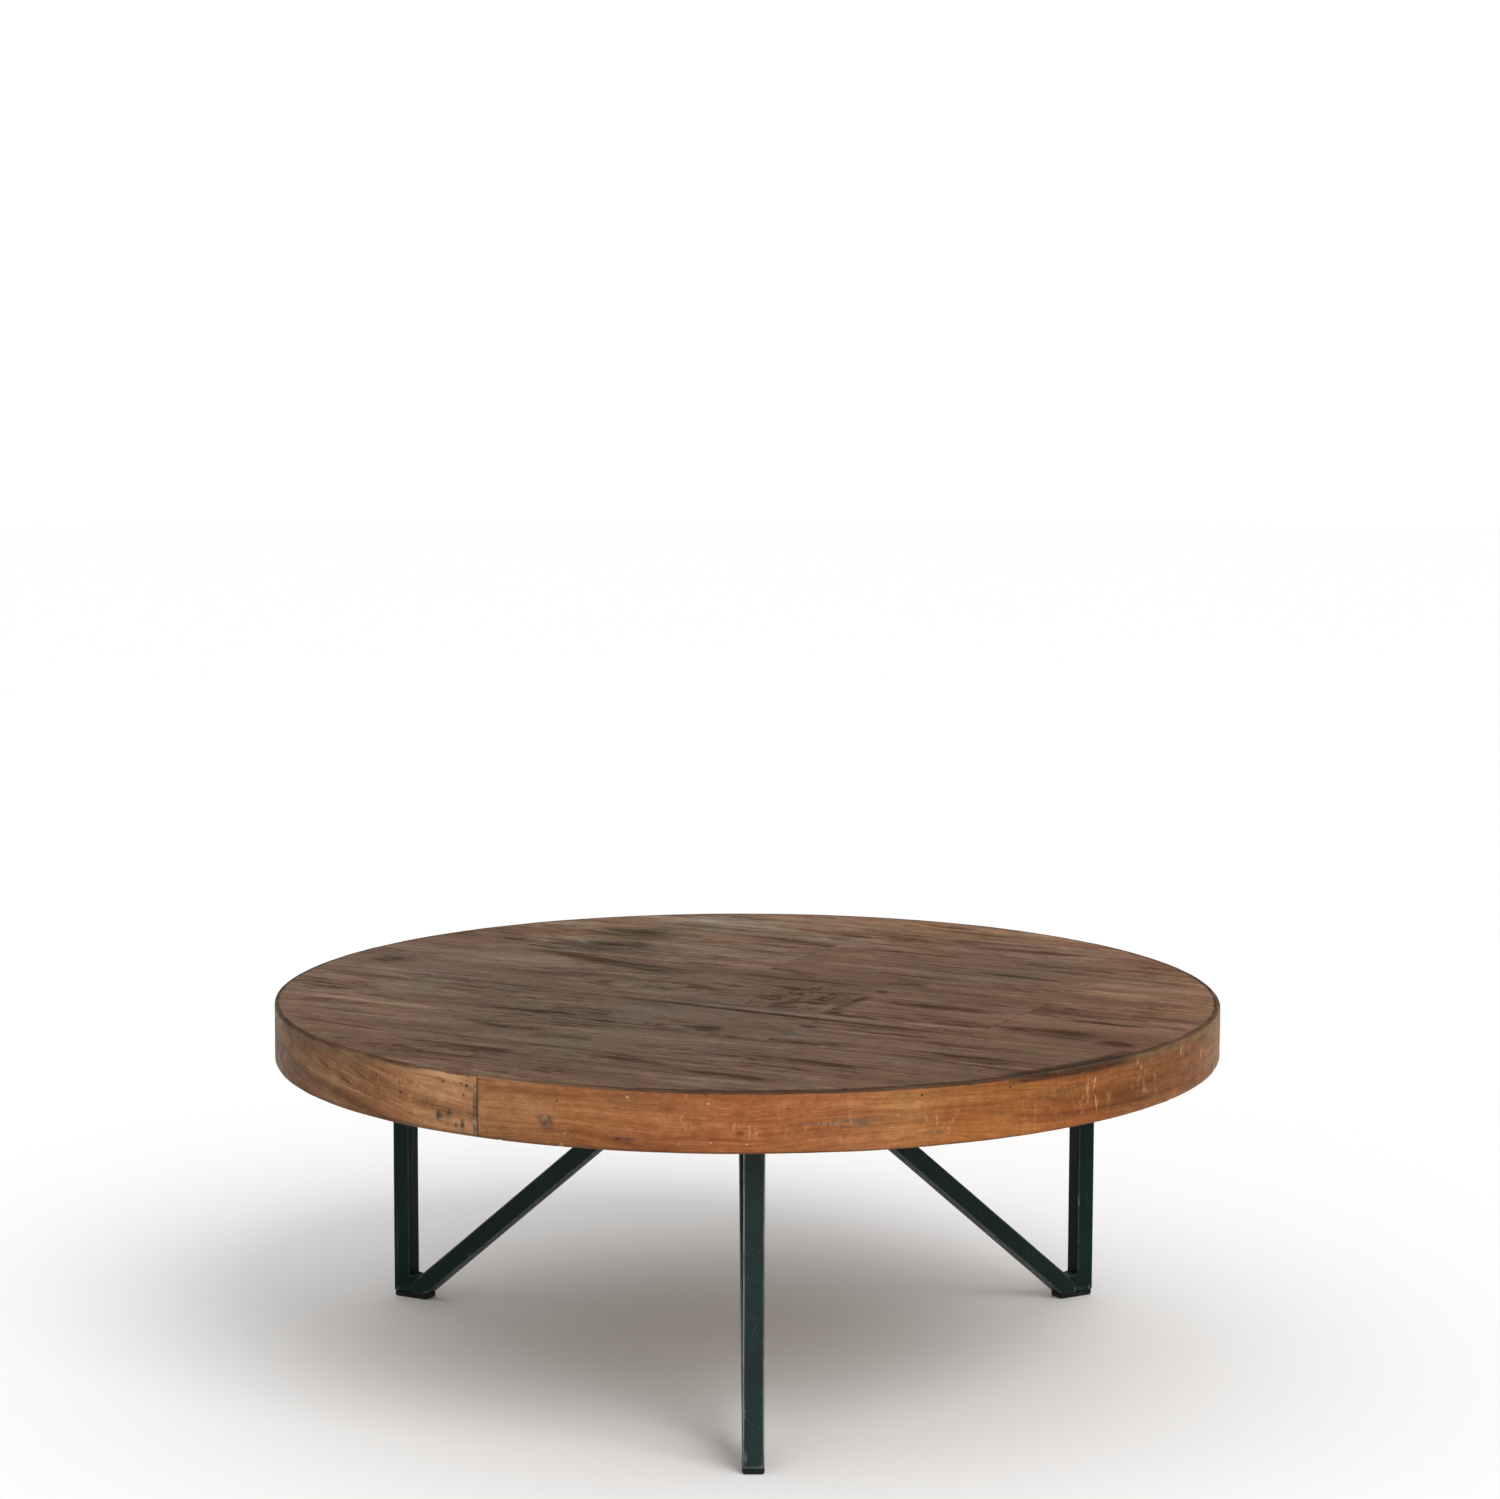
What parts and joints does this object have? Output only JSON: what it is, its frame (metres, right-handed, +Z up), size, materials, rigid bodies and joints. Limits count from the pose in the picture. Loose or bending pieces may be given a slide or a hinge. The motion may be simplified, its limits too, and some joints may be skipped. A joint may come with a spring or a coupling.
{
  "type": "round coffee table",
  "caption": "Low round coffee table with a reclaimed-wood plank top, a bent wooden edge and black V-shaped legs of square steel tube.",
  "frame": {"origin": "on the floor, under the centre of the round top", "axes": "+Z up, -Y towards the front leg, +X to the right seen from the front"},
  "size_m": [0.9, 0.9, 0.35],
  "materials": {
    "plank_wood": "reclaimed teak, grey-brown, satin lacquer",
    "edge_wood": "bent teak strip, warm orange-brown, satin lacquer, light scuffs",
    "core_wood": "plain sawn teak, unlacquered",
    "black_steel": "blackish green-blue paint, semi-gloss, worn edges",
    "foot_pad": "black moulded plastic",
    "screw_steel": "zinc-plated steel"
  },
  "bodies": {
    "root": {"top_plank_a": "plank_wood", "top_plank_b": "plank_wood", "top_plank_c1": "plank_wood", "top_plank_c2": "plank_wood", "top_plank_d1": "plank_wood", "top_plank_d2": "plank_wood", "top_plank_d3": "plank_wood", "top_plank_e1": "plank_wood", "top_plank_e2": "plank_wood", "top_plank_f": "plank_wood", "top_plank_g": "plank_wood", "edge_strip_1": "edge_wood", "edge_strip_2": "edge_wood", "edge_strip_3": "edge_wood", "ring_segment_1": "core_wood", "ring_segment_2": "core_wood", "ring_segment_3": "core_wood", "ring_segment_4": "core_wood", "ring_segment_5": "core_wood", "ring_segment_6": "core_wood", "ring_segment_7": "core_wood", "ring_segment_8": "core_wood", "centre_rail": "core_wood", "batten_left": "core_wood", "batten_right": "core_wood", "leg_front_post": "black_steel", "leg_front_brace": "black_steel", "leg_front_plate": "black_steel", "leg_front_foot_pad": "foot_pad", "leg_front_screw_1": "screw_steel", "leg_front_screw_2": "screw_steel", "leg_right_post": "black_steel", "leg_right_brace": "black_steel", "leg_right_plate": "black_steel", "leg_right_foot_pad": "foot_pad", "leg_right_screw_1": "screw_steel", "leg_right_screw_2": "screw_steel", "leg_left_post": "black_steel", "leg_left_brace": "black_steel", "leg_left_plate": "black_steel", "leg_left_foot_pad": "foot_pad", "leg_left_screw_1": "screw_steel", "leg_left_screw_2": "screw_steel", "hub_plate": "black_steel", "hub_screw_1": "screw_steel", "hub_screw_2": "screw_steel", "hub_screw_3": "screw_steel", "batten_left_screw_1": "screw_steel", "batten_left_screw_2": "screw_steel", "batten_left_screw_3": "screw_steel", "batten_right_screw_1": "screw_steel", "batten_right_screw_2": "screw_steel", "batten_right_screw_3": "screw_steel"}
  },
  "joints": []
}
